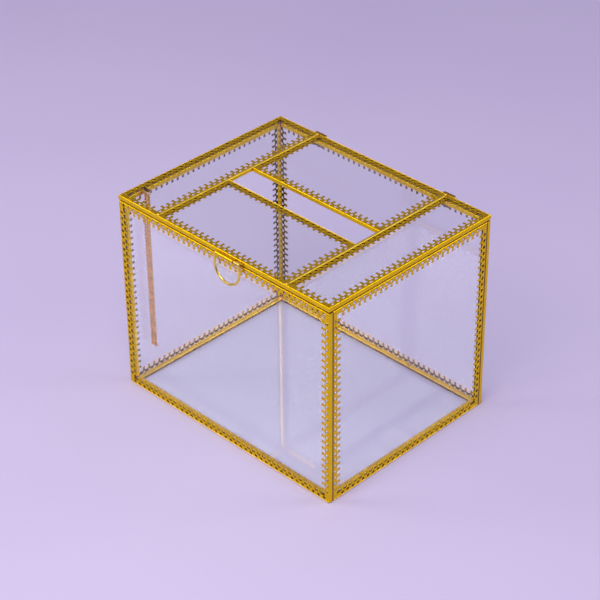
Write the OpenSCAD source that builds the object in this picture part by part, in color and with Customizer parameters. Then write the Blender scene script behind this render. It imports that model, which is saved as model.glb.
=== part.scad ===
// Glass card box with a hinged, slotted lid.
// Every pane is edged with four strips of brass lace channel, mitred and soldered at the corners.
// Units are millimetres. X runs along the front, Y runs to the back, Z is up.
// The origin is the middle of the underside.

/* [Box] */
// Outer width of the box, along X
box_w = 260; // [220:1:320]
// Outer depth of the box walls, along Y
box_d = 203; // [170:1:250]
// Height up to the lace of the closed lid
box_h = 204; // [170:1:250]

/* [Glass] */
// Thickness of every pane
glass_t = 3; // [2:0.5:4]
// Gap between a pane's face and the channel's leg
glass_gap = 0.2; // [0.1:0.05:0.3]
// Gap between a pane's edge and the channel's web
glass_edge_gap = 0.3; // [0.2:0.1:0.8]

/* [Lace channel] */
// Thickness of the brass sheet
sheet_t = 0.6; // [0.5:0.1:0.7]
// Width of the outer, lace-cut leg from the channel's edge to the tips of its teeth
lace_w = 9.6; // [8.6:0.1:11]
// Width of the band below the teeth
band_w = 5.2; // [4.9:0.1:5.6]
// Distance from one tooth of the lace to the next
lace_pitch = 6.5; // [5.4:0.1:8]
// Diameter of the round holes in the band
lace_hole_d = 3; // [2:0.1:3.2]
// Distance of the hole centres from the channel's edge
lace_hole_u = 3; // [2.7:0.1:3.1]
// Width of the smooth inner leg
inner_leg_w = 4.5; // [3:0.5:6]

/* [Lid] */
// Gap between the closed lid and the top of the walls
lid_gap = 1; // [0.4:0.1:1.5]
// Width of the framed pane at each end of the lid
lid_end_w = 50.7; // [42:0.1:60]
// Width of the open card slot, along Y
slot_w = 29; // [12:1:45]
// Height of the soldered ridge over the two long seams of the lid
seam_h = 0.7; // [0.4:0.1:1]

/* [Hinges] */
// Length of each hinge along its pin
hinge_l = 12; // [10:1:20]
// Radius of the hinge knuckles
knuckle_r = 1.9; // [1.7:0.1:2.2]
// Radius of the hinge pins
hinge_pin_r = 0.8; // [0.6:0.1:1]
// Height of the hinge leaf on the back wall
box_leaf_h = 9; // [6:1:14]

/* [Pull] */
// Place of the pull's middle along the front edge, from the box's middle
pull_x = 12; // [-30:1:30]
// Width of the D ring between the middles of its two legs
pull_ring_w = 30; // [24:1:40]
// Drop of the D ring from its sleeve to the middle of its lowest point
pull_drop = 25.6; // [22:0.1:36]
// Radius of the ring's wire
pull_wire_r = 1.2; // [1:0.1:1.3]
// Length of the sleeve that the ring turns in
pull_sleeve_l = 21; // [12:1:21]

/* [Stay chain] */
// Height of the chain's lowest point above the base, with the lid closed
chain_clear = 26; // [10:1:60]
// Radius of a link, from its centre to the middle of its wire
link_r = 1.4; // [1.35:0.05:1.6]
// Radius of the link's wire
link_wire_r = 0.4; // [0.3:0.05:0.4]
// Distance of the chain's two pegs from the front of the box
chain_from_front = 25.5; // [25.5:0.5:40]

/* [Hidden] */
// A pane channel is two legs, the glass and its gaps
came_depth = 2 * sheet_t + glass_t + 2 * glass_gap;
wall_h = box_h - came_depth - lid_gap;
side_wall_w = box_d - 2 * came_depth;
base_w = box_w - 2 * came_depth;
base_d = side_wall_w;
lid_mid_w = box_w - 2 * lid_end_w;
lid_mid_d = (box_d - slot_w) / 2;
lid_under = box_h - came_depth;

// One tooth of the lace: half widths, and how far up the tooth they are
TOOTH = [[2.3, 0], [1.1, 0.25], [1, 0.5], [1.3, 0.7], [0.7, 1]];
tooth_margin = lace_w + 1;
hole_margin = lace_hole_u + 1.42 * (lace_hole_d / 2 + 0.6);

// Running clearance of pins and wires in their bores
bore_gap = 0.06;
// Clearance between pieces that pass each other
pass_gap = 0.3;

// The hinge axis runs behind the back wall
hinge_out = 1 + knuckle_r;
hinge_y = box_d / 2 + hinge_out;
hinge_z = lid_under + knuckle_r - 0.1;
lid_knuckle_l = hinge_l / 3;
hinge_x = lid_mid_w / 2;
leaf_t = 0.6;

// The pull's sleeve is soldered to the front of the lid
sleeve_r = pull_wire_r + 0.9;
pull_y = -box_d / 2 - (hinge_out + knuckle_r - sleeve_r);
pull_z = box_h - came_depth / 2 - 0.1;
pull_bend_r = 2.4;
pull_arc_r = pull_ring_w / 2;

// The chain hangs on two pegs, on one line along X. Their heads and the lid peg's lug stand clear of the second link
peg_r = 0.4;
head_r = peg_r + 0.3;
head_l = 0.4;
head_off = link_r;
lug_w = 1.2;
link_gap = 0.1;
link_pitch = 2 * link_r - 2 * link_wire_r - link_gap;
peg_to_link = link_r - link_wire_r - peg_r - link_gap;
link_to_joiner = link_r - 2 * link_wire_r - link_gap;
joiner_end_r = 1.45;
joiner_tilt = 50;
joiner_l = 2 * joiner_end_r + link_wire_r;
// Gaps from the wall to the first strand, and from one strand to the other
wall_to_chain = 0.65;
strand_gap = 0.5;
strand_step = 2 * (link_r + link_wire_r) + strand_gap;
inner_face_x = -box_w / 2 + came_depth;
box_strand_x = inner_face_x + wall_to_chain + link_r + link_wire_r;
lid_strand_x = box_strand_x + strand_step;
peg_y = -box_d / 2 + chain_from_front;
peg_z = wall_h - 3;

// Both halves have an odd number of links. They hang clear of the base, and swing clear of the back wall.
hang_room = peg_z - came_depth - chain_clear - joiner_l;
swing_room = box_d / 2 - came_depth - peg_y - joiner_l - 4;
half_links = 2 * floor((min(hang_room, swing_room) - peg_to_link - link_to_joiner) / link_pitch / 2) + 1;
strand_l = peg_to_link + (half_links - 1) * link_pitch + link_to_joiner;

brass = "#D8A31C";
bright_brass = "#E8BC3C";
copper_gold = "#C98532";
clear_glass = [0.8, 0.9, 0.92, 0.3];

// ---- The lace channel -------------------------------------------------------------------------
// A strip lies along X from 0 to len. Its edge is at y = 0, the pane is towards +Y, and its outer
// face is at z = 0. Both ends are mitred at 45 degrees.

function tooth_count(len) = floor((len - 2 * tooth_margin) / lace_pitch) + 1;

function tooth_at(len, i) = len / 2 + (i - (tooth_count(len) - 1) / 2) * lace_pitch;

function tooth_points(centre) = let (rise = lace_w - band_w) concat(
    [for (k = [0 : len(TOOTH) - 1]) [centre + TOOTH[k][0], band_w + TOOTH[k][1] * rise]],
    [for (k = [len(TOOTH) - 1 : -1 : 0]) [centre - TOOTH[k][0], band_w + TOOTH[k][1] * rise]]
);

function lace_outline(len) = concat(
    [[0, 0], [len, 0], [len - band_w, band_w]],
    [for (i = [tooth_count(len) - 1 : -1 : 0]) each tooth_points(tooth_at(len, i))],
    [[band_w, band_w]]
);

module mitred_bar(len, width) {
    polygon([[0, 0], [len, 0], [len - width, width], [width, width]]);
}

module lace_leg(len) {
    spare = tooth_at(len, 0) - lace_pitch >= hole_margin ? 1 : 0;
    difference() {
        linear_extrude(sheet_t) polygon(lace_outline(len));
        for (i = [-spare : tooth_count(len) - 1 + spare])
            translate([tooth_at(len, i), lace_hole_u, -1])
                cylinder(d = lace_hole_d, h = sheet_t + 2, $fn = 24);
    }
}

module lace_came(len) {
    translate([0, 0, -sheet_t]) lace_leg(len);
    translate([0, 0, -came_depth]) linear_extrude(came_depth) mitred_bar(len, sheet_t);
    translate([0, 0, -came_depth]) linear_extrude(sheet_t) mitred_bar(len, inner_leg_w);
}

module plain_came(len) {
    translate([0, 0, -sheet_t]) linear_extrude(sheet_t) mitred_bar(len, inner_leg_w);
    translate([0, 0, -came_depth]) linear_extrude(came_depth) mitred_bar(len, sheet_t);
    translate([0, 0, -came_depth]) linear_extrude(sheet_t) mitred_bar(len, inner_leg_w);
}

// Puts a strip on one side of a frame of w by h: 0 near, 1 right, 2 far, 3 left
module on_side(w, h, side) {
    start = [[0, 0], [w, 0], [w, h], [0, h]][side];
    translate([start[0], start[1], 0]) rotate(90 * side) children();
}

module frame_strip(w, h, side) {
    color(brass) on_side(w, h, side) lace_came(side % 2 == 0 ? w : h);
}

// The pane lies in its frame with a gap all round
module frame_pane(w, h) {
    inset = sheet_t + glass_edge_gap;
    color(clear_glass)
        translate([inset, inset, -came_depth + sheet_t + glass_gap])
            cube([w - 2 * inset, h - 2 * inset, glass_t]);
}

// ---- Where each frame stands ------------------------------------------------------------------

module at_front() {
    translate([-box_w / 2, -box_d / 2, 0]) rotate([90, 0, 0]) children();
}

module at_back() {
    translate([box_w / 2, box_d / 2, 0]) rotate([90, 0, 180]) children();
}

module at_left() {
    translate([-box_w / 2, side_wall_w / 2, 0]) rotate([90, 0, -90]) children();
}

module at_right() {
    translate([box_w / 2, -side_wall_w / 2, 0]) rotate([90, 0, 90]) children();
}

module at_lid_left() {
    translate([-box_w / 2, -box_d / 2, box_h]) children();
}

module at_lid_right() {
    translate([lid_mid_w / 2, -box_d / 2, box_h]) children();
}

module at_lid_back() {
    translate([-lid_mid_w / 2, slot_w / 2, box_h]) children();
}

module at_lid_front() {
    translate([-lid_mid_w / 2, -box_d / 2, box_h]) children();
}

// ---- Walls ------------------------------------------------------------------------------------

module front_pane() { at_front() frame_pane(box_w, wall_h); }
module front_bottom_came() { at_front() frame_strip(box_w, wall_h, 0); }
module front_right_came() { at_front() frame_strip(box_w, wall_h, 1); }
module front_top_came() { at_front() frame_strip(box_w, wall_h, 2); }
module front_left_came() { at_front() frame_strip(box_w, wall_h, 3); }

module back_pane() { at_back() frame_pane(box_w, wall_h); }
module back_bottom_came() { at_back() frame_strip(box_w, wall_h, 0); }
module back_left_came() { at_back() frame_strip(box_w, wall_h, 1); }
module back_top_came() { at_back() frame_strip(box_w, wall_h, 2); }
module back_right_came() { at_back() frame_strip(box_w, wall_h, 3); }

module left_pane() { at_left() frame_pane(side_wall_w, wall_h); }
module left_bottom_came() { at_left() frame_strip(side_wall_w, wall_h, 0); }
module left_front_came() { at_left() frame_strip(side_wall_w, wall_h, 1); }
module left_top_came() { at_left() frame_strip(side_wall_w, wall_h, 2); }
module left_back_came() { at_left() frame_strip(side_wall_w, wall_h, 3); }

module right_pane() { at_right() frame_pane(side_wall_w, wall_h); }
module right_bottom_came() { at_right() frame_strip(side_wall_w, wall_h, 0); }
module right_back_came() { at_right() frame_strip(side_wall_w, wall_h, 1); }
module right_top_came() { at_right() frame_strip(side_wall_w, wall_h, 2); }
module right_front_came() { at_right() frame_strip(side_wall_w, wall_h, 3); }

// ---- Base: a pane in a plain channel, inside the foot of the walls ----------------------------

module at_base() {
    translate([-base_w / 2, -base_d / 2, came_depth]) children();
}

module base_pane() { at_base() frame_pane(base_w, base_d); }

module base_frame() {
    color(brass) at_base()
        for (side = [0 : 3])
            on_side(base_w, base_d, side) plain_came(side % 2 == 0 ? base_w : base_d);
}

// ---- Lid: four framed panes around the open slot ----------------------------------------------

module lid_left_pane() { at_lid_left() frame_pane(lid_end_w, box_d); }
module lid_left_front_came() { at_lid_left() frame_strip(lid_end_w, box_d, 0); }
module lid_left_inner_came() { at_lid_left() frame_strip(lid_end_w, box_d, 1); }
module lid_left_back_came() { at_lid_left() frame_strip(lid_end_w, box_d, 2); }
module lid_left_outer_came() { at_lid_left() frame_strip(lid_end_w, box_d, 3); }

module lid_right_pane() { at_lid_right() frame_pane(lid_end_w, box_d); }
module lid_right_front_came() { at_lid_right() frame_strip(lid_end_w, box_d, 0); }
module lid_right_outer_came() { at_lid_right() frame_strip(lid_end_w, box_d, 1); }
module lid_right_back_came() { at_lid_right() frame_strip(lid_end_w, box_d, 2); }
module lid_right_inner_came() { at_lid_right() frame_strip(lid_end_w, box_d, 3); }

module lid_back_pane() { at_lid_back() frame_pane(lid_mid_w, lid_mid_d); }
module lid_back_slot_came() { at_lid_back() frame_strip(lid_mid_w, lid_mid_d, 0); }
module lid_back_right_came() { at_lid_back() frame_strip(lid_mid_w, lid_mid_d, 1); }
module lid_back_rear_came() { at_lid_back() frame_strip(lid_mid_w, lid_mid_d, 2); }
module lid_back_left_came() { at_lid_back() frame_strip(lid_mid_w, lid_mid_d, 3); }

module lid_front_pane() { at_lid_front() frame_pane(lid_mid_w, lid_mid_d); }
module lid_front_fore_came() { at_lid_front() frame_strip(lid_mid_w, lid_mid_d, 0); }
module lid_front_right_came() { at_lid_front() frame_strip(lid_mid_w, lid_mid_d, 1); }
module lid_front_slot_came() { at_lid_front() frame_strip(lid_mid_w, lid_mid_d, 2); }
module lid_front_left_came() { at_lid_front() frame_strip(lid_mid_w, lid_mid_d, 3); }

// A round-backed ridge of solder covers each long seam, between two beads
bead_r = 1.9;
bead_sunk = 0.5;
seam_half_w = 1.3;
seam_round_r = (pow(seam_half_w, 2) + pow(seam_h, 2)) / (2 * seam_h);
seam_l = box_d - 4 * bead_r;

module lid_seam(x) {
    color(bright_brass) translate([x, 0, box_h]) intersection() {
        translate([0, seam_l / 2, seam_h - seam_round_r])
            rotate([90, 0, 0]) cylinder(r = seam_round_r, h = seam_l, $fn = 48);
        translate([-seam_half_w - 1, -seam_l / 2 - 1, 0]) cube([2 * seam_half_w + 2, seam_l + 2, seam_h + 1]);
    }
}

module lid_left_seam() { lid_seam(-lid_mid_w / 2); }
module lid_right_seam() { lid_seam(lid_mid_w / 2); }

module lid_solder_beads() {
    color(bright_brass)
        for (x = [-lid_mid_w / 2, lid_mid_w / 2], end = [-1, 1])
            translate([x, end * (box_d / 2 - bead_r), box_h]) intersection() {
                translate([0, 0, -bead_sunk]) sphere(r = bead_r, $fn = 32);
                translate([-3, -3, 0]) cube([6, 6, 3]);
            }
}

// ---- Hinges: two knuckles on the box, one on the lid between them, and a headed pin -----------

module along_x(from, to) {
    translate([from, 0, 0]) rotate([0, 90, 0]) linear_extrude(to - from) children();
}

module at_hinge(x) {
    translate([x, hinge_y, hinge_z]) children();
}

module hinge_bore() {
    translate([-hinge_l, 0, 0]) rotate([0, 90, 0]) cylinder(r = hinge_pin_r + bore_gap, h = 2 * hinge_l, $fn = 32);
}

module hinge_box_leaf(x) {
    inner_end = lid_knuckle_l / 2 + pass_gap;
    knuckle_l = hinge_l / 2 - inner_end;
    wall_top = wall_h - hinge_z;
    color(brass) at_hinge(x) difference() {
        union() {
            translate([-hinge_l / 2, -hinge_out, wall_top - box_leaf_h]) cube([hinge_l, leaf_t, box_leaf_h]);
            for (start = [-hinge_l / 2, inner_end]) {
                translate([start, 0, 0]) rotate([0, 90, 0]) cylinder(r = knuckle_r, h = knuckle_l, $fn = 40);
                translate([start, -hinge_out + leaf_t / 2, wall_top - 2]) cube([knuckle_l, hinge_out, 1.4]);
                translate([start, -1.4, wall_top - 2]) cube([knuckle_l, 1.4 + leaf_t / 2, 2 - wall_top]);
            }
        }
        hinge_bore();
    }
}

module hinge_lid_leaf(x) {
    plate_low = lid_under - hinge_z + 0.2;
    color(brass) at_hinge(x) difference() {
        union() {
            translate([-hinge_l / 2, -hinge_out, plate_low]) cube([hinge_l, leaf_t, came_depth - 0.5]);
            translate([-lid_knuckle_l / 2, 0, 0])
                rotate([0, 90, 0]) cylinder(r = knuckle_r, h = lid_knuckle_l, $fn = 40);
            translate([-lid_knuckle_l / 2, -hinge_out + leaf_t / 2, -0.7])
                cube([lid_knuckle_l, hinge_out - leaf_t / 2, 1.4]);
        }
        hinge_bore();
    }
}

module hinge_pin(x) {
    color(bright_brass) at_hinge(x) rotate([0, 90, 0]) {
        translate([0, 0, -hinge_l / 2 - 0.1]) cylinder(r = hinge_pin_r, h = hinge_l + 0.2, $fn = 32);
        for (end = [-hinge_l / 2 - 0.5, hinge_l / 2 + 0.1])
            translate([0, 0, end]) cylinder(r = hinge_pin_r + 0.5, h = 0.4, $fn = 32);
    }
}

module hinge_left_box_leaf() { hinge_box_leaf(-hinge_x); }
module hinge_left_lid_leaf() { hinge_lid_leaf(-hinge_x); }
module hinge_left_pin() { hinge_pin(-hinge_x); }
module hinge_right_box_leaf() { hinge_box_leaf(hinge_x); }
module hinge_right_lid_leaf() { hinge_lid_leaf(hinge_x); }
module hinge_right_pin() { hinge_pin(hinge_x); }

// ---- Pull: a D ring of wire that turns in a sleeve on the lid's front -------------------------

module at_pull() {
    translate([pull_x, pull_y, pull_z]) children();
}

module pull_sleeve() {
    start = -pull_arc_r + pull_bend_r;
    saddle = -box_d / 2 - pull_y;
    color(bright_brass) at_pull() difference() {
        union() {
            translate([start, 0, 0]) rotate([0, 90, 0]) cylinder(r = sleeve_r, h = pull_sleeve_l, $fn = 40);
            translate([start, 0, -1]) cube([pull_sleeve_l, saddle, 2]);
        }
        translate([start - 1, 0, 0])
            rotate([0, 90, 0]) cylinder(r = pull_wire_r + bore_gap, h = pull_sleeve_l + 2, $fn = 40);
    }
}

module wire(length) {
    cylinder(r = pull_wire_r, h = length, $fn = 32);
}

module wire_arc(radius, angle) {
    rotate_extrude(angle = angle, $fn = 96) translate([radius, 0]) circle(r = pull_wire_r, $fn = 32);
}

module pull_ring() {
    leg_l = pull_drop - pull_bend_r - pull_arc_r;
    color(bright_brass) at_pull() {
        translate([-pull_arc_r + pull_bend_r, 0, 0]) rotate([0, 90, 0]) wire(pull_ring_w - 2 * pull_bend_r);
        for (side = [0, 1]) mirror([side, 0, 0]) {
            translate([pull_arc_r - pull_bend_r, 0, -pull_bend_r]) rotate([90, 0, 0]) wire_arc(pull_bend_r, 90);
            translate([pull_arc_r, 0, -pull_bend_r - leg_l]) wire(leg_l);
        }
        translate([0, 0, -pull_bend_r - leg_l]) rotate([90, 0, 0]) rotate(180) wire_arc(pull_arc_r, 180);
    }
}

// ---- Stay chain: two strands that hang side by side and meet in a joining link ----------------

module chain_link(turn) {
    rotate([0, 90, turn]) rotate_extrude($fn = 48) translate([link_r, 0]) circle(r = link_wire_r, $fn = 24);
}

// Even links lie across X, so that the end links ride on the pegs and on the joining link
module chain_strand(x) {
    color(copper_gold) for (i = [0 : half_links - 1])
        translate([x, peg_y, peg_z - peg_to_link - i * link_pitch]) chain_link(i % 2 == 0 ? 0 : 90);
}

module peg(from, to, head_at) {
    translate([from, peg_y, peg_z]) rotate([0, 90, 0]) cylinder(r = peg_r, h = to - from, $fn = 24);
    translate([head_at - head_l / 2, peg_y, peg_z]) rotate([0, 90, 0]) cylinder(r = head_r, h = head_l, $fn = 24);
}

module chain_box_peg() {
    color(bright_brass) peg(inner_face_x, box_strand_x + head_off, box_strand_x + head_off);
}

module chain_lid_peg() {
    plate_from = -box_w / 2 + inner_leg_w;
    lug_x = lid_strand_x + head_off - 0.1;
    color(bright_brass) {
        translate([plate_from, peg_y - 2, lid_under]) cube([lug_x + sheet_t - plate_from, 4, sheet_t]);
        translate([lug_x, peg_y - lug_w / 2, peg_z - lug_w / 2])
            cube([sheet_t, lug_w, lid_under + sheet_t - peg_z + lug_w / 2]);
        peg(lid_strand_x - head_off, lug_x + sheet_t / 2, lid_strand_x - head_off);
    }
}

module chain_box_strand() { chain_strand(box_strand_x); }
module chain_lid_strand() { chain_strand(lid_strand_x); }

// An oval link: its upper wire runs along X through both strands' last links, and it leans back
module chain_joining_link() {
    length = strand_step + 2 * link_wire_r + link_gap;
    color(copper_gold)
        translate([(box_strand_x + lid_strand_x) / 2, peg_y, peg_z - strand_l]) rotate([joiner_tilt, 0, 0])
            translate([0, 0, -joiner_end_r]) {
                for (z = [-joiner_end_r, joiner_end_r])
                    translate([-length / 2, 0, z]) rotate([0, 90, 0]) cylinder(r = link_wire_r, h = length, $fn = 24);
                for (side = [0, 1]) mirror([side, 0, 0])
                    translate([length / 2, 0, 0]) rotate([90, 0, 0]) rotate(-90)
                        rotate_extrude(angle = 180, $fn = 48) translate([joiner_end_r, 0]) circle(r = link_wire_r, $fn = 24);
            }
}

front_pane();
back_pane();
left_pane();
right_pane();
base_pane();
front_bottom_came();
front_right_came();
front_top_came();
front_left_came();
back_bottom_came();
back_left_came();
back_top_came();
back_right_came();
left_bottom_came();
left_front_came();
left_top_came();
left_back_came();
right_bottom_came();
right_back_came();
right_top_came();
right_front_came();
base_frame();
lid_left_pane();
lid_right_pane();
lid_back_pane();
lid_front_pane();
lid_left_front_came();
lid_left_inner_came();
lid_left_back_came();
lid_left_outer_came();
lid_right_front_came();
lid_right_outer_came();
lid_right_back_came();
lid_right_inner_came();
lid_back_slot_came();
lid_back_right_came();
lid_back_rear_came();
lid_back_left_came();
lid_front_fore_came();
lid_front_right_came();
lid_front_slot_came();
lid_front_left_came();
lid_left_seam();
lid_right_seam();
lid_solder_beads();
hinge_left_box_leaf();
hinge_left_lid_leaf();
hinge_left_pin();
hinge_right_box_leaf();
hinge_right_lid_leaf();
hinge_right_pin();
pull_sleeve();
pull_ring();
chain_box_peg();
chain_lid_peg();
chain_box_strand();
chain_lid_strand();
chain_joining_link();
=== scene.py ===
# %% [markdown]
# # A glass card box edged in brass lace
#
# The box stands on a table at a wedding and takes envelopes through the slot in its lid. It is made the
# way a small stained-glass shop makes it: panes of clear glass, each held in a U-shaped brass channel.
# One leg of the channel is stamped to lace before it is folded. The lengths are mitred at the corners and
# soldered.
#
# The real sizes and the moving parts come from the CAD frame. This lesson adds what the eye sees: the
# soft edges of stamped brass, clear glass, lumps of solder, a fine chain, and the light.

import math

import bmesh
import bpy
from mathutils import Matrix, Vector


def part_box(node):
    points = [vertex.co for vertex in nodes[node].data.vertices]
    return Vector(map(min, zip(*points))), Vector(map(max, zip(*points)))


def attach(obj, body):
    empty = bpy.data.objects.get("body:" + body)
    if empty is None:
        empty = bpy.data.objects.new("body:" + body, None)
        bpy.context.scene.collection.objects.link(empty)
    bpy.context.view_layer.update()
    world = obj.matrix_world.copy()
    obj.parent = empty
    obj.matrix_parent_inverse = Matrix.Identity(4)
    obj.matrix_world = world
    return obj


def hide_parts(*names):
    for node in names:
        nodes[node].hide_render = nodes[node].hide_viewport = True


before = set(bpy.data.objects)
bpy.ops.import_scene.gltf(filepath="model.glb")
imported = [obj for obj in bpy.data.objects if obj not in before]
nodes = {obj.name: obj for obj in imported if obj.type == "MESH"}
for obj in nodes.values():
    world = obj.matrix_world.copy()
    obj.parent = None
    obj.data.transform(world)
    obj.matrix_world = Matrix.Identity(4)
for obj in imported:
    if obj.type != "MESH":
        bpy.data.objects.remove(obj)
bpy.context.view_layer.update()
MM = 0.001

# %% [markdown]
# ## The camera
#
# A product photographer stands back and uses a long lens, so that the box's edges stay nearly parallel. A
# camera is described by where it looks from, and by three axes: right, up and backwards. Working these
# out from a compass direction, a tilt and a roll is easier to adjust than dragging the camera about.

# %% Camera: a long lens, up and to the right
def aim_camera(compass, tilt, roll, distance, shift_right, shift_up, lens):
    a, e, r = math.radians(compass), math.radians(tilt), math.radians(roll)
    look = Vector((-math.sin(a) * math.cos(e), math.cos(a) * math.cos(e), -math.sin(e)))
    level = look.cross(Vector((0, 0, 1))).normalized()
    rise = level.cross(look)
    right = math.cos(r) * level + math.sin(r) * rise
    up = math.cos(r) * rise - math.sin(r) * level
    data = bpy.data.cameras.new("long_lens")
    data.lens, data.sensor_width = lens, 36
    data.clip_start, data.clip_end = 0.1, 50
    camera = bpy.data.objects.new("camera", data)
    bpy.context.scene.collection.objects.link(camera)
    place = -shift_right * right - shift_up * up - distance * look
    camera.matrix_world = Matrix.Translation(place) @ Matrix((right, up, -look)).transposed().to_4x4()
    bpy.context.scene.camera = camera
    return camera


camera = aim_camera(compass=44.984, tilt=33.814, roll=-0.555, distance=1.8640,
                    shift_right=0.00426, shift_up=-0.0857, lens=119.61)
print("camera at", [round(v, 3) for v in camera.location])

# %% [markdown]
# ## Helpers for materials
#
# Colours are easiest to pick as sRGB hex values, but a shader works in linear light, so one function
# turns one into the other. A second small function adds any node, with its settings and what is plugged
# into it.

# %% Colour and node helpers
def linear(hex_colour):
    def one(v):
        return v / 12.92 if v <= 0.04045 else ((v + 0.055) / 1.055) ** 2.4

    return [one(int(hex_colour[i : i + 2], 16) / 255) for i in (1, 3, 5)] + [1.0]


def add(tree, kind, settings=None, **plugs):
    """Adds a node. settings are its own options; plugs give its inputs a value or another node's output."""
    node = tree.nodes.new(kind)
    for key, value in (settings or {}).items():
        setattr(node, key, value)
    for key, value in plugs.items():
        name = key.replace("_", " ")
        socket = node.inputs[int(key[1:])] if key[0] == "n" and key[1:].isdigit() else node.inputs[name]
        if isinstance(value, bpy.types.NodeSocket):
            tree.links.new(value, socket)
        else:
            socket.default_value = value
    return node


def new_material(name):
    made = bpy.data.materials.new(name)
    made.use_nodes = True
    made.node_tree.nodes.clear()
    return made, made.node_tree


print("mid gold in linear light:", [round(v, 3) for v in linear("#E2B233")[:3]])

# %% [markdown]
# ## Brass
#
# Yellow brass sheet is stamped, folded and gilded, then lacquered. Three things show that it is metal and
# not yellow plastic: it is fully metallic, its polish is uneven, and the sheet is not perfectly flat. The
# polish changes over a few millimetres, where fingers and the polishing wheel have been. The dents from
# stamping are about 2 mm across. Every corner also gets painted shade, the colour darkened towards a
# brown: ambient occlusion finds those corners by measuring how much of the view is blocked within a
# millimetre or so. One function makes every brass on the box.

# %% Brass, made from real sizes
def brass(name, bright, dull, polish, dent_mm, dent_depth_mm, smudge_mm=7, corner_mm=1.8,
          corner_shade_colour="#6A4408"):
    made, tree = new_material(name)
    place = add(tree, "ShaderNodeTexCoord").outputs["Object"]
    smudge = add(tree, "ShaderNodeTexNoise", Vector=place, Scale=1 / (smudge_mm * MM),
                 Detail=3, Roughness=0.6)
    dent = add(tree, "ShaderNodeTexNoise", Vector=place, Scale=1 / (dent_mm * MM),
               Detail=2, Roughness=0.5)
    colour = add(tree, "ShaderNodeMix", {"data_type": "RGBA"}, n0=smudge.outputs["Fac"],
                 n6=linear(dull), n7=linear(bright))
    wear = add(tree, "ShaderNodeMapRange", Value=smudge.outputs["Fac"],
               From_Min=0.3, From_Max=0.7, To_Min=polish + 0.1, To_Max=polish)
    # Painted shade: where ambient occlusion finds a corner, the colour is darkened towards a brown.
    open_view = add(tree, "ShaderNodeAmbientOcclusion", {"samples": 4}, Distance=corner_mm * MM)
    corner = add(tree, "ShaderNodeMapRange", Value=open_view.outputs["AO"],
                 From_Min=0.3, From_Max=0.85, To_Min=0.9, To_Max=0.0)
    with_corner_shade = add(tree, "ShaderNodeMix", {"data_type": "RGBA"}, n0=corner.outputs["Result"],
               n6=colour.outputs[2], n7=linear(corner_shade_colour))
    bump = add(tree, "ShaderNodeBump", Height=dent.outputs["Fac"], Strength=1.0,
               Distance=dent_depth_mm * MM)
    shader = add(tree, "ShaderNodeBsdfPrincipled", Base_Color=with_corner_shade.outputs[2], Metallic=1.0,
                 Roughness=wear.outputs["Result"], Normal=bump.outputs["Normal"])
    add(tree, "ShaderNodeOutputMaterial", Surface=shader.outputs[0])
    return made


stamped_brass = brass("stamped_gilded_brass", "#FFE01E", "#E6AE00", 0.2, dent_mm=2.2, dent_depth_mm=0.015)
folded_brass = brass("folded_gilded_brass", "#FFDC1E", "#E4AA00", 0.24, dent_mm=6, dent_depth_mm=0.03)
drawn_brass = brass("drawn_brass_wire", "#FFEC84", "#E8C04C", 0.24, dent_mm=3, dent_depth_mm=0.02)
hinge_brass = brass("satin_hinge_brass", "#D0A438", "#946C1C", 0.34, dent_mm=1.5, dent_depth_mm=0.03)
# The chain's painted shade, where its links meet, is a reddish brown.
chain_gilt = brass("copper_gilt_chain", "#FFD24A", "#F0A01C", 0.22, dent_mm=1.2, dent_depth_mm=0.02,
                   corner_mm=0.5, corner_shade_colour="#8A4C0C")
print("brasses:", [m.name for m in bpy.data.materials if "brass" in m.name or "gilt" in m.name])

# %% [markdown]
# ## Solder
#
# The seams of the lid are filled with tin solder and gilded with the rest. Solder freezes in soft ripples
# about 3 mm apart, so the seam wants the same metal with a broader, deeper waviness than the sheet.

# %% Gilded solder
gilt_solder = brass("gilded_tin_solder", "#FFE25C", "#DDB226", 0.34, dent_mm=3, dent_depth_mm=0.08,
                    smudge_mm=4)
print("solder:", gilt_solder.name)

# %% [markdown]
# ## Glass
#
# Each pane is 3 mm clear float glass. Glass bends and mirrors what the eye sees, but a renderer also
# stops lamp light at it and leaves a shadow as dark as a board's. A pane lets nearly all the light past,
# so rays from lamps, and soft light on its way from one matt thing to another, get a faintly tinted
# transparent shader instead. The cut edge of float glass looks green from the iron in it, and the tint in
# the base colour gives that hint.

# %% Clear float glass
def float_glass(name, tint, shade):
    made, tree = new_material(name)
    place = add(tree, "ShaderNodeTexCoord").outputs["Object"]
    wave = add(tree, "ShaderNodeTexNoise", Vector=place, Scale=1 / (45 * MM), Detail=1)
    bump = add(tree, "ShaderNodeBump", Height=wave.outputs["Fac"], Strength=0.25, Distance=0.05 * MM)
    shader = add(tree, "ShaderNodeBsdfPrincipled", Base_Color=linear(tint), Roughness=0.0, IOR=1.5,
                 Transmission_Weight=1.0, Normal=bump.outputs["Normal"])
    clear = add(tree, "ShaderNodeBsdfTransparent", Color=linear(shade))
    ray = add(tree, "ShaderNodeLightPath").outputs
    unseen = add(tree, "ShaderNodeMath", {"operation": "MAXIMUM"},
                 n0=ray["Is Shadow Ray"], n1=ray["Is Diffuse Ray"])
    both = add(tree, "ShaderNodeMixShader", n0=unseen.outputs[0], n1=shader.outputs[0], n2=clear.outputs[0])
    add(tree, "ShaderNodeOutputMaterial", Surface=both.outputs[0])
    return made


clear_glass = float_glass("clear_float_glass", "#FDFFFF", "#FCFEFE")
print("glass:", clear_glass.name)

# %% [markdown]
# ## One tooth of the lace
#
# The lace leg is a strip with a smooth rim, a row of round holes, and a tooth over every hole: a stout
# stem with a broad bud. One tooth repeats every 6.5 mm. Modelling one tooth as an outline and chaining it
# is less work than modelling 800, and a change to the outline changes them all. Blender fills a flat
# curve, cuts its holes, thickens it and rounds its edges in one go, which is just what a stamping press
# does.

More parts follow.
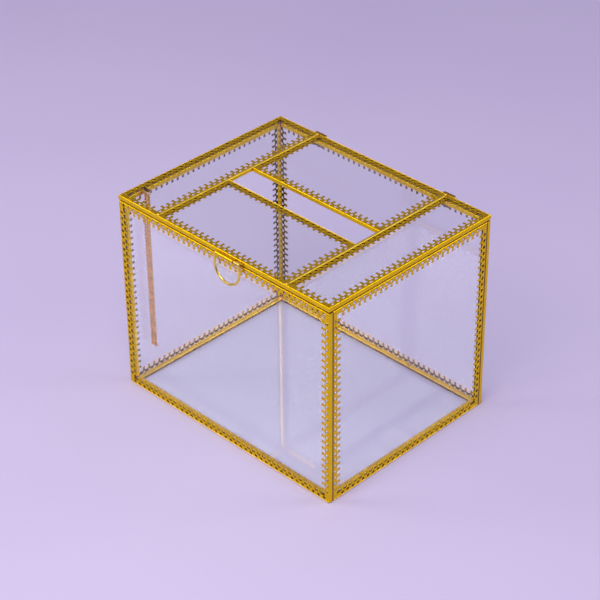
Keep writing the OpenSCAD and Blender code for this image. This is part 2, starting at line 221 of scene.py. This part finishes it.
# %% The outline of one tooth, in millimetres
PITCH = 6.5  # from one tooth to the next
HOLE_R = 1.5
HOLE_UP = 3.0  # from the rim to the middle of a hole
BAND_W = 5.2  # from the rim to the valleys between the teeth
LACE_W = 9.6  # from the rim to the tips of the teeth
SHEET = 0.6
DEPTH = 4.6  # of the channel, over both legs
LEG_W = 4.5  # the smooth leg
FOLD_R = 0.9
STEP = 0.15  # how far the lace lies below the folded rim
TINY = 1e-6


def arc(cx, cy, rx, ry, start, end, steps):
    turn = [math.radians(start + (end - start) * k / steps) for k in range(steps + 1)]
    return [(cx + rx * math.cos(t), cy + ry * math.sin(t)) for t in turn]


def tooth_outline():
    """Right to left over one hole at x = 0: half the valley, the stem, the bud, and back down."""
    valley_x, valley_rx, valley_ry = 2.45, 1.45, 1.35
    bud_y, bud_rx, bud_ry = 8.35, 1.4, 1.05
    valley = [(PITCH / 2, BAND_W)]
    valley += arc(valley_x, BAND_W + valley_ry, valley_rx, valley_ry, 270, 190, 6)
    bud = arc(0, bud_y, bud_rx, bud_ry, -42, 78, 7)
    half = valley + bud
    return half + [(0, LACE_W)] + [(-x, y) for x, y in reversed(half)]


print("points in one tooth:", len(tooth_outline()))

# %% [markdown]
# ## A length of lace leg
#
# A strip is cut to 45 degrees at both ends. The teeth are centred on its length, with room left for the
# corner, and the row of holes runs one hole further at each end where there is space.

# %% Lace leg from a filled curve
CORNER_ROOM = 1
MITRE = 1.42  # a little over the square root of two, because the ends are cut at 45 degrees


def tooth_places(length):
    count = math.floor((length - 2 * (LACE_W + CORNER_ROOM)) / PITCH + TINY) + 1
    return [length / 2 + (i - (count - 1) / 2) * PITCH for i in range(count)]


def hole_places(length):
    places = tooth_places(length)
    if places[0] - PITCH >= HOLE_UP + MITRE * (HOLE_R + SHEET) - TINY:
        places = [places[0] - PITCH] + places + [places[-1] + PITCH]
    return places


def flat_spline(curve, points):
    spline = curve.splines.new("POLY")
    spline.points.add(len(points) - 1)
    for point, (x, y) in zip(spline.points, points):
        point.co = (x * MM, y * MM, 0, 1)
    spline.use_cyclic_u = True


def pressed_sheet(name, outlines, thickness, edge):
    """A mesh from flat outlines: the first is the outside, the others are holes. Its top is at z = 0."""
    curve = bpy.data.curves.new(name, "CURVE")
    curve.dimensions, curve.fill_mode = "2D", "BOTH"
    for outline in outlines:
        flat_spline(curve, outline)
    curve.extrude = (thickness / 2 - edge) * MM
    curve.bevel_depth, curve.bevel_resolution = edge * MM, 1
    curve.offset = -edge * MM
    holder = bpy.data.objects.new(name, curve)
    mesh = bpy.data.meshes.new_from_object(holder)
    mesh.transform(Matrix.Translation((0, 0, -thickness / 2 * MM)))
    bpy.data.objects.remove(holder)
    bpy.data.curves.remove(curve)
    return mesh


def without_doubles(points, nearest=0.02):
    kept = [points[0]]
    for point in points[1:]:
        if math.dist(point, kept[-1]) > nearest:
            kept.append(point)
    return kept


def round_hole(x, points=16):
    return arc(x, HOLE_UP, HOLE_R, HOLE_R, 0, 360 - 360 / points, points - 1)


def lace_leg(length, overlap=0.1, cut_edge=0.12):
    """The flat lace, from just inside the fold to the tips of the teeth."""
    low = FOLD_R - overlap
    outline = [(low, low), (length - low, low), (length - BAND_W, BAND_W)]
    for x in reversed(tooth_places(length)):
        outline += [(x + px, py) for px, py in tooth_outline()]
    outline += [(BAND_W, BAND_W)]
    holes = [round_hole(x) for x in hole_places(length)]
    mesh = pressed_sheet("lace", [without_doubles(outline)] + holes, SHEET - STEP, cut_edge)
    mesh.transform(Matrix.Translation((0, 0, -STEP * MM)))
    return mesh


SHORT_STRIP = 50.7
test = lace_leg(SHORT_STRIP)
print("short lace leg:", len(test.vertices), "vertices")
print("tall in mm:", round(max(v.co.y for v in test.vertices) / MM, 2))

# %% [markdown]
# ## Raised work on the lace
#
# The stamp also pushes the brass up: a fine ring round every hole and a low boss on every bud. These
# catch the light as a row of sparks, which a flat sheet never does. Each boss is a low dome and each ring
# a thin bead, half sunk in the sheet. The sheet itself lies a little below the folded rim, so that
# nothing stands proud of the channel.

# %% Rings and bosses
BOSS_UP = 8.3  # from the rim to the middle of a bud
BOSS_R = 0.95
BEAD_OUT = 0.24  # from a hole's edge to the middle of its bead
BEAD_R = 0.2


def around(sides):
    return [2 * math.pi * i / sides for i in range(sides)]


def skin(bm, rows, rows_close=True, sides_close=True):
    """Faces between neighbouring rows of points. Either direction may close on itself."""
    count = len(rows[0])
    followers = rows[1:] + rows[:1] if rows_close else rows[1:]
    for row, following in zip(rows, followers):
        for k in range(count if sides_close else count - 1):
            after = (k + 1) % count
            bm.faces.new((row[k], following[k], following[after], row[after]))


def finished(bm, name):
    mesh = bpy.data.meshes.new(name)
    bm.to_mesh(mesh)
    bm.free()
    return mesh


def boss(bm, x, y, radius, rings=3, sides=12):
    """A low dome whose foot goes a little into the sheet."""
    foot = 0.02
    top = bm.verts.new((x * MM, y * MM, 0))
    rows = []
    for k in range(1, rings + 1):
        a = math.pi / 2 * k / rings
        out = radius * math.sin(a)
        z = STEP * (math.cos(a) - 1) - foot * k
        rows.append([bm.verts.new(((x + out * math.cos(t)) * MM, (y + out * math.sin(t)) * MM, z * MM))
                     for t in around(sides)])
    for i in range(sides):
        bm.faces.new((top, rows[0][i], rows[0][(i + 1) % sides]))
    for inner, outer in zip(rows, rows[1:]):
        for i in range(sides):
            j = (i + 1) % sides
            bm.faces.new((inner[i], outer[i], outer[j], inner[j]))


def bead_ring(bm, x, y, radius, wire, sides=16, round_sides=6):
    """The upper half of a ring of wire."""
    sunk = 1.1
    rows = []
    for t in around(sides):
        row = []
        for k in range(round_sides):
            a = math.pi * k / (round_sides - 1)
            out = radius + wire * math.cos(a)
            z = STEP * (math.sin(a) - sunk)
            row.append(bm.verts.new(((x + out * math.cos(t)) * MM, (y + out * math.sin(t)) * MM, z * MM)))
        rows.append(row)
    skin(bm, rows, sides_close=False)


def raised_work(length):
    bm = bmesh.new()
    for x in tooth_places(length):
        boss(bm, x, BOSS_UP, BOSS_R)
    for x in hole_places(length):
        bead_ring(bm, x, HOLE_UP, HOLE_R + BEAD_OUT, BEAD_R)
    return finished(bm, "raised")


print("raised work on a short strip:", len(raised_work(SHORT_STRIP).vertices), "vertices")

# %% [markdown]
# ## The folded channel
#
# Behind the lace the sheet folds twice at a right angle: once to the web that covers the pane's edge, and
# once more to a smooth leg on the inner face. A fold is never sharp. Its outside is a 0.9 mm round, and
# that round is the long bright line along every edge of the box. The cross-section is drawn once and run
# along the strip, with its ends sheared to 45 degrees.

# %% The fold, run along a strip
def fold_section(with_top_leg):
    edge = 0.15
    past_fold = 0.2
    low = -DEPTH
    outer = arc(FOLD_R, -FOLD_R, FOLD_R, FOLD_R, 90, 180, 5)
    outer += arc(FOLD_R, low + FOLD_R, FOLD_R, FOLD_R, 180, 270, 5)
    lip = [(LEG_W - edge, low), (LEG_W, low + edge)]
    lip += [(LEG_W, low + SHEET - edge), (LEG_W - edge, low + SHEET)]
    inside = arc(SHEET + edge, low + SHEET + edge, edge, edge, 270, 180, 2)
    inside += arc(SHEET + edge, -SHEET - edge, edge, edge, 180, 90, 2)
    reach = LEG_W if with_top_leg else FOLD_R + past_fold
    top = [(reach - edge, -SHEET), (reach, -SHEET + edge), (reach, -edge), (reach - edge, 0)]
    return outer + lip + inside + top


def folded_channel(length, with_top_leg=False, section_every=20):
    """The section repeated along X, each point set in from both ends by its own height, for the mitres."""
    bm = bmesh.new()
    section = fold_section(with_top_leg)
    steps = max(2, round(length / section_every))
    rows = []
    for k in range(steps + 1):
        share = k / steps
        rows.append([bm.verts.new(((y + share * (length - 2 * y)) * MM, y * MM, z * MM))
                     for y, z in section])
    skin(bm, rows, rows_close=False)
    bm.faces.new(rows[0])
    bm.faces.new(list(reversed(rows[-1])))
    bmesh.ops.recalc_face_normals(bm, faces=bm.faces)
    return finished(bm, "channel")


print("channel:", len(folded_channel(260).vertices), "vertices")

# %% [markdown]
# ## Putting a strip together
#
# The three meshes of a strip become one. Strips of the same length share it, so that 32 strips need only
# a handful of meshes. Smooth shading with a limit of 40 degrees keeps folds round and cut edges crisp.

# %% Join meshes and keep them by length
def joined(name, parts, material, smooth_below=40):
    bm = bmesh.new()
    for part in parts:
        bm.from_mesh(part)
        bpy.data.meshes.remove(part)
    mesh = finished(bm, name)
    mesh.materials.clear()
    mesh.materials.append(material)
    mesh.shade_smooth()
    mesh.set_sharp_from_angle(angle=math.radians(smooth_below))
    for face in mesh.polygons:
        face.material_index = 0
    return mesh


lace_meshes = {}


def lace_strip_mesh(length):
    key = round(length, 2)
    if key not in lace_meshes:
        parts = [lace_leg(key), raised_work(key), folded_channel(key)]
        lace_meshes[key] = joined(f"lace_channel_{key:.0f}mm", parts, stamped_brass)
    return lace_meshes[key]


print("260 mm strip:", len(lace_strip_mesh(260.0).polygons), "faces")

# %% [markdown]
# ## Where each strip goes
#
# Every framed pane has four strips. Seen from its outer face, the first lies at the bottom and the others
# follow anticlockwise. Each strip needs three directions: along itself, in over the pane, and out of the
# face. Its corner and its length are read off the CAD piece that it stands for, so nothing is fitted by
# eye.

# %% Strips on all eight framed panes
X, Y, Z = Vector((1, 0, 0)), Vector((0, 1, 0)), Vector((0, 0, 1))
FRAMES = {
    "front": (X, Z, ("bottom", "right", "top", "left")),
    "back": (-X, Z, ("bottom", "left", "top", "right")),
    "left": (-Y, Z, ("bottom", "front", "top", "back")),
    "right": (Y, Z, ("bottom", "back", "top", "front")),
    "lid_left": (X, Y, ("front", "inner", "back", "outer")),
    "lid_right": (X, Y, ("front", "outer", "back", "inner")),
    "lid_back": (X, Y, ("slot", "right", "rear", "left")),
    "lid_front": (X, Y, ("fore", "right", "slot", "left")),
}


def strip_place(node, along, inward):
    """The strip's matrix and its length in millimetres, from the CAD piece's box."""
    low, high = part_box(node)
    outward = along.cross(inward)
    corner = Vector()
    for axis in (along, inward, -outward):
        k = max(range(3), key=lambda i: abs(axis[i]))
        corner[k] = low[k] if axis[k] > 0 else high[k]
    place = Matrix.Translation(corner) @ Matrix((along, inward, outward)).transposed().to_4x4()
    return place, abs((high - low).dot(along)) / MM


def show(name, mesh, place, body, slot_name, *stands_for):
    piece = bpy.data.objects.new(name, mesh)
    bpy.context.scene.collection.objects.link(piece)
    piece.matrix_world = place
    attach(piece, body)
    if stands_for:
        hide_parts(*stands_for)
    return piece


strips = []
for pane, (right, up, sides) in FRAMES.items():
    turned = [(right, up), (up, -right), (-right, -up), (-up, right)]
    for side, (along, inward) in zip(sides, turned):
        node = f"{pane}_{side}_came"
        place, length = strip_place(node, along, inward)
        body = "lid" if pane.startswith("lid") else "box"
        strips.append(show(f"{pane}_{side}_lace", lace_strip_mesh(length), place, body, "lace_brass", node))
print("lace strips:", len(strips), "from", len(lace_meshes), "meshes")

# %% [markdown]
# ## The base channel
#
# The base pane sits in the same folded channel, without lace. It is one piece of the CAD, so its four
# mitred lengths are joined to one mesh here too.

# %% Plain channel round the base
def base_channel():
    low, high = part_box("base_frame")
    size = (high - low) / MM
    parts = []
    for side in range(4):
        mesh = folded_channel(size.x if side % 2 == 0 else size.y, with_top_leg=True)
        x, y = [(0, 0), (size.x, 0), (size.x, size.y), (0, size.y)][side]
        turn = Matrix.Rotation(math.pi / 2 * side, 4, "Z")
        mesh.transform(Matrix.Translation((x * MM, y * MM, 0)) @ turn)
        parts.append(mesh)
    return show("base_channel", joined("base_channel", parts, folded_brass),
                Matrix.Translation((low.x, low.y, high.z)), "box", "plain_brass", "base_frame")


print("base channel faces:", len(base_channel().data.polygons))

# %% [markdown]
# ## The panes
#
# The CAD panes already have the right shape, so they stay. A pane's edges are ground a little after
# cutting, and a fine bevel gives the highlight that ground edges have.

# %% Glass on the panes
def dress(node, material, edge_mm=0.0, smooth=40):
    piece = nodes[node]
    piece.data.materials.clear()
    piece.data.materials.append(material)
    piece.data.shade_smooth()
    piece.data.set_sharp_from_angle(angle=math.radians(smooth))
    if edge_mm:
        bevel = piece.modifiers.new("ground_edge", "BEVEL")
        bevel.width, bevel.segments, bevel.limit_method = edge_mm * MM, 2, "ANGLE"
    return piece


panes = [n for n in nodes if n.endswith("_pane")]
for n in panes:
    dress(n, clear_glass, edge_mm=0.3, smooth=30)
print("panes:", len(panes))

# %% [markdown]
# ## Solder on the lid
#
# The long seams are ridges of solder that the CAD already holds. The four blobs at their ends are lumps,
# and a lump of solder is never a ball: it slumps towards the seam. A dome with a few low bumps pushed
# into it reads as a real lump.

# %% Seams and lumps of solder
def solder_lump(bm, centre, radius, height, seed, rings=7, sides=20):
    rows = []
    for k in range(rings + 1):
        a = math.pi / 2 * k / rings
        row = []
        for t in around(sides):
            swell = 1 + 0.07 * math.sin(2 * t + seed) + 0.05 * math.sin(3 * t + 2.1 * seed) * math.sin(a)
            out = radius * swell * math.sin(a)
            flat = (out * math.cos(t), out * math.sin(t))
            row.append(bm.verts.new(centre + Vector((flat[0], flat[1], height * math.cos(a)))))
        rows.append(row)
    skin(bm, rows, rows_close=False)


def solder_lumps(radius_mm=1.75, inset=1.08, tallness=0.97, first_seed=1.3):
    """Four lumps, one inside each corner of the CAD beads' box, each a little different."""
    low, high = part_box("lid_solder_beads")
    bm = bmesh.new()
    radius = radius_mm * MM
    foot = low.z - 0.05 * MM
    for k, (x, y) in enumerate([(low.x, low.y), (high.x, low.y), (low.x, high.y), (high.x, high.y)]):
        towards_middle = Vector((radius if x < 0 else -radius, radius if y < 0 else -radius, 0))
        centre = Vector((x, y, foot)) + towards_middle * inset
        solder_lump(bm, centre, radius, (high.z - low.z) * tallness, first_seed + k)
    bmesh.ops.remove_doubles(bm, verts=bm.verts, dist=0.01 * MM)
    mesh = finished(bm, "solder_lumps")
    mesh.materials.append(gilt_solder)
    mesh.shade_smooth()
    return show("solder_lumps", mesh, Matrix.Identity(4), "lid", "gilt_solder", "lid_solder_beads")


for n in ("lid_left_seam", "lid_right_seam"):
    dress(n, gilt_solder, smooth=60)
print("solder lumps:", len(solder_lumps().data.vertices), "vertices")

# %% [markdown]
# ## Corner grooves
#
# At each upright edge the side web of the front or back frame meets the lace of the end frame. The groove
# between the two folds is in shade, which draws a dark brown line down the box. It could be left to ambient
# occlusion, but that is too weak in a groove this shallow, so a thin strip of painted shade lies in it.

# %% Painted shade in the grooves
def groove_shade_material():
    made, tree = new_material("groove_shade_paint")
    place = add(tree, "ShaderNodeTexCoord").outputs["Object"]
    blotch = add(tree, "ShaderNodeTexNoise", Vector=place, Scale=1 / (5 * MM), Detail=2)
    # Painted shade for the groove: dark brown and blotchy.
    colour = add(tree, "ShaderNodeMix", {"data_type": "RGBA"}, n0=blotch.outputs["Fac"],
                 n6=linear("#2E1A04"), n7=linear("#5A3606"))
    shader = add(tree, "ShaderNodeBsdfPrincipled", Base_Color=colour.outputs[2], Roughness=0.5)
    add(tree, "ShaderNodeOutputMaterial", Surface=shader.outputs[0])
    return made


def shaded_groove_strips(depth_mm=0.04, width_mm=1.3, short_mm=1):
    """A strip of painted shade in each upright groove, a little shorter than the box's side."""
    verts, faces = [], []
    for end in ("left", "right"):
        for wall in ("front", "back"):
            low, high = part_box(f"{end}_{wall}_came")
            x = low.x + depth_mm * MM if end == "left" else high.x - depth_mm * MM
            y = low.y if wall == "front" else high.y
            half = width_mm * MM / 2
            foot, head = low.z + short_mm * MM, high.z - short_mm * MM
            n = len(verts)
            verts += [(x, y - half, foot), (x, y + half, foot), (x, y + half, head), (x, y - half, head)]
            faces.append((n, n + 1, n + 2, n + 3))
    mesh = bpy.data.meshes.new("painted_groove_shade")
    mesh.from_pydata(verts, [], faces)
    mesh.materials.append(groove_shade_material())
    return show("painted_groove_shade", mesh, Matrix.Identity(4), "box", "gilt_solder")


print("groove strips:", len(shaded_groove_strips().data.polygons))

# %% [markdown]
# ## Hinges, pull and pegs
#
# These small parts keep their CAD shapes, because the turning fits depend on them. They need only the
# right brass and soft edges. The pull is bent from drawn wire, which is smoother and brighter than sheet.

# %% Brass on the small parts
for n in nodes:
    if n.startswith("hinge_"):
        dress(n, drawn_brass if n.endswith("_pin") else hinge_brass, edge_mm=0.12)
    elif n.endswith("_peg"):
        dress(n, drawn_brass, edge_mm=0.08)
dress("pull_sleeve", folded_brass, edge_mm=0.15)
dress("pull_ring", drawn_brass)
print("small parts:", [n for n in nodes if n.startswith(("hinge", "pull"))])

# %% [markdown]
# ## The stay chain
#
# The chain stops the lid when it falls open. It is a fine cable chain: oval links of drawn wire, each at
# a right angle to its neighbour and a little twisted, so that it sparkles. Each half hangs from its peg.
# The links follow the CAD links one for one. A hanging chain also turns on itself along its length, which
# a straight copy of one link lacks.

# %% Oval links
LINK_HALF = 1.4  # from a link's middle to the middle of the wire at its ends
LINK_WIDE = 1.25
LINK_WIRE = 0.42
LINK_PITCH = 1.9


def oval_link(bm, centre, turn, twist=14, steps=20, wire_sides=8):
    """A closed ring of wire round an oval, twisted a little about its length."""
    rows = []
    for t in around(steps):
        mid = Vector((LINK_WIDE * math.cos(t), 0, LINK_HALF * math.sin(t)))
        out = Vector((math.cos(t) / LINK_WIDE, 0, math.sin(t) / LINK_HALF)).normalized()
        spin = Matrix.Rotation(math.radians(turn + twist * math.sin(t)), 3, "Z")
        row = []
        for a in around(wire_sides):
            skin_point = mid + LINK_WIRE * (math.cos(a) * out + math.sin(a) * Vector((0, 1, 0)))
            row.append(bm.verts.new(centre + spin @ skin_point * MM))
        rows.append(row)
    skin(bm, rows)


def hang_turn(i, count, most=45, links_to_most=9):
    """A hanging chain turns on itself: an eighth of a turn, reached nine links in from either end."""
    return most * min(1.0, min(i, count - 1 - i) / links_to_most)


def chain_half(name, node, body):
    low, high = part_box(node)
    centre = (low + high) / 2
    reach = (LINK_HALF + LINK_WIRE) * MM
    pitch = LINK_PITCH * MM
    count = round((high.z - low.z - 2 * reach) / pitch) + 1
    bm = bmesh.new()
    for i in range(count):
        turn = (90 if i % 2 == 0 else 0) + hang_turn(i, count)
        oval_link(bm, Vector((centre.x, centre.y, high.z - reach - i * pitch)), turn)
    bmesh.ops.recalc_face_normals(bm, faces=bm.faces)
    mesh = finished(bm, name)
    mesh.materials.append(chain_gilt)
    mesh.shade_smooth()
    show(name, mesh, Matrix.Identity(4), body, "gilt_chain", node)
    print(name, count, "links")


chain_half("box_chain_links", "chain_box_strand", "box_chain")
chain_half("lid_chain_links", "chain_lid_strand", "lid_chain")
dress("chain_joining_link", chain_gilt)

# %% [markdown]
# ## Table top and light
#
# The box stands on a plain pale lilac sheet. Polished metal shows its surroundings more than itself, so
# the room is part of the picture. It is bright overhead and dim near the ground, and a broad lamp
# overhead and a lower one at two corners give every fold a light and a dark side.

# %% Paper, room and lamps
def paper_floor(side=6, below_mm=0.2):
    made, tree = new_material("lilac_paper")
    place = add(tree, "ShaderNodeTexCoord").outputs["Object"]
    fibre = add(tree, "ShaderNodeTexNoise", Vector=place, Scale=1 / (1.5 * MM), Detail=2)
    cloud = add(tree, "ShaderNodeTexNoise", Vector=place, Scale=1 / (400 * MM), Detail=1)
    colour = add(tree, "ShaderNodeMix", {"data_type": "RGBA"}, n0=cloud.outputs["Fac"],
                 n6=linear("#CDC4E8"), n7=linear("#D8D0EF"))
    bump = add(tree, "ShaderNodeBump", Height=fibre.outputs["Fac"], Strength=0.1, Distance=0.05 * MM)
    shader = add(tree, "ShaderNodeBsdfPrincipled", Base_Color=colour.outputs[2], Roughness=0.75,
                 Normal=bump.outputs["Normal"])
    add(tree, "ShaderNodeOutputMaterial", Surface=shader.outputs[0])
    mesh = bpy.data.meshes.new("paper")
    corners = [(-side, -side, 0), (side, -side, 0), (side, side, 0), (-side, side, 0)]
    mesh.from_pydata(corners, [], [(0, 1, 2, 3)])
    mesh.materials.append(made)
    floor = bpy.data.objects.new("paper_floor", mesh)
    bpy.context.scene.collection.objects.link(floor)
    floor.location.z = -below_mm * MM


def lilac_room():
    """Light from all round: dim near the ground and bright overhead."""
    room = bpy.data.worlds.new("lilac_room")
    room.use_nodes = True
    tree = room.node_tree
    tree.nodes.clear()
    way = add(tree, "ShaderNodeTexCoord").outputs["Generated"]
    height = add(tree, "ShaderNodeSeparateXYZ", Vector=way).outputs["Z"]
    rise = add(tree, "ShaderNodeMapRange", Value=height, From_Min=0.0, From_Max=0.95)
    walls = add(tree, "ShaderNodeMix", {"data_type": "RGBA"}, n0=rise.outputs["Result"],
                n6=linear("#84719F"), n7=linear("#E4DCF6"))
    glow = add(tree, "ShaderNodeBackground", Color=walls.outputs[2], Strength=0.6)
    add(tree, "ShaderNodeOutputWorld", Surface=glow.outputs[0])
    bpy.context.scene.world = room


def lamp(name, place, target, size, power, colour):
    data = bpy.data.lights.new(name, "AREA")
    data.shape = "DISK"
    data.size = size
    data.energy = power
    data.color = linear(colour)[:3]
    light = bpy.data.objects.new(name, data)
    light.location = place
    light.rotation_euler = (Vector(target) - Vector(place)).to_track_quat("-Z", "Y").to_euler()
    bpy.context.scene.collection.objects.link(light)


paper_floor()
lilac_room()
lamp("overhead", (0.35, -0.95, 1.55), (0, -0.25, 0), 1.2, 17.5, "#FFFBF4")
lamp("front_left", (-1.3, -1.25, 1.35), (0, 0, 0.1), 0.9, 9, "#FFF6E8")
lamp("back_right", (1.3, 1.3, 1.35), (0, 0, 0.1), 0.9, 7.5, "#FFF8F0")
bpy.context.scene.view_settings.view_transform = "Standard"
